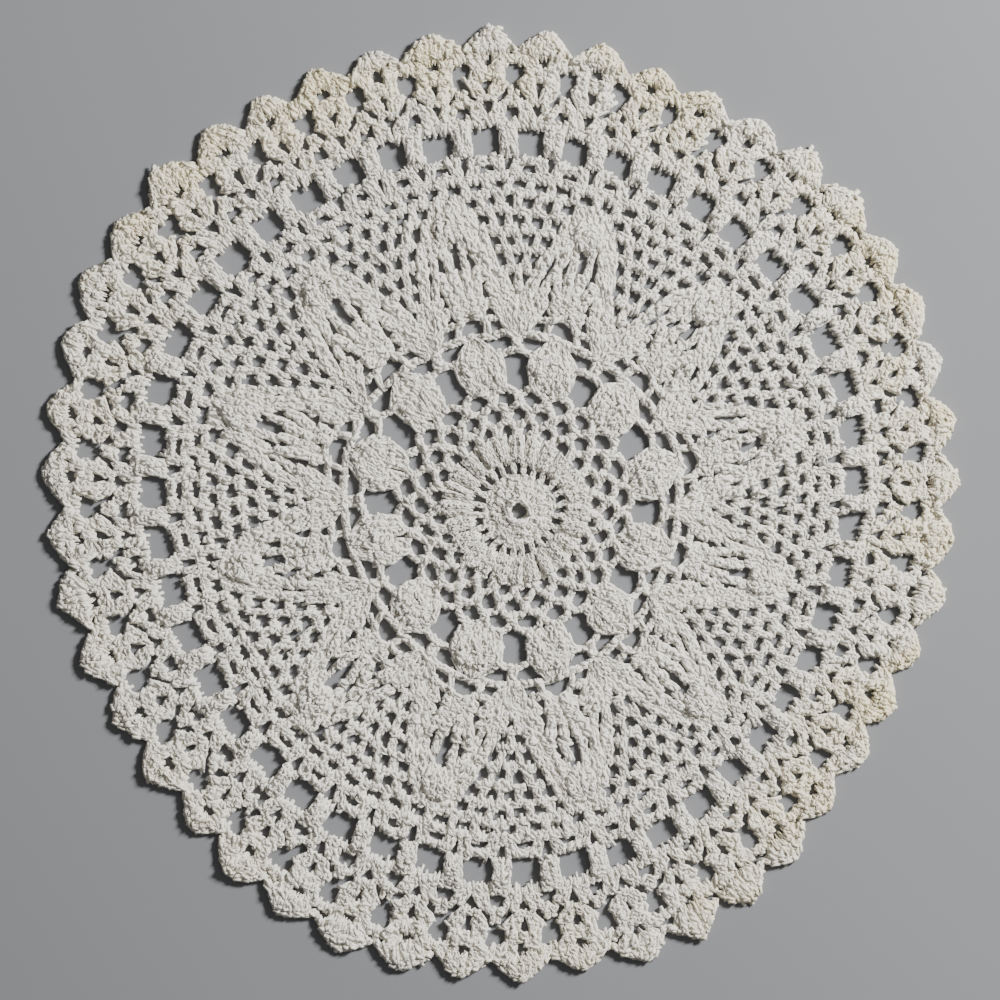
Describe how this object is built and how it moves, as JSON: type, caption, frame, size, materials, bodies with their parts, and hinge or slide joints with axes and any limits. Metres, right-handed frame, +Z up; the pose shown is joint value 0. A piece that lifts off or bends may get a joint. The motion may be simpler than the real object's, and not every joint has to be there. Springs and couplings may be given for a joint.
{
  "type": "lace doily",
  "caption": "Round crocheted cotton lace doily lying flat, with a dense start ring, trellis rounds, wedge-shaped leaves in open net, a ring of large eyelets and a scalloped shell border.",
  "frame": {"origin": "middle of the outline's bounding box, on the surface that the doily lies on", "axes": "+Z up out of the cloth; +X to the right and +Y away, as the doily is seen from above"},
  "size_m": [0.3462, 0.3598, 0.0028],
  "materials": {
    "cotton": "matt white cotton crochet thread, slightly cream at the outer points"
  },
  "bodies": {
    "root": {"doily": "cotton"}
  },
  "joints": []
}
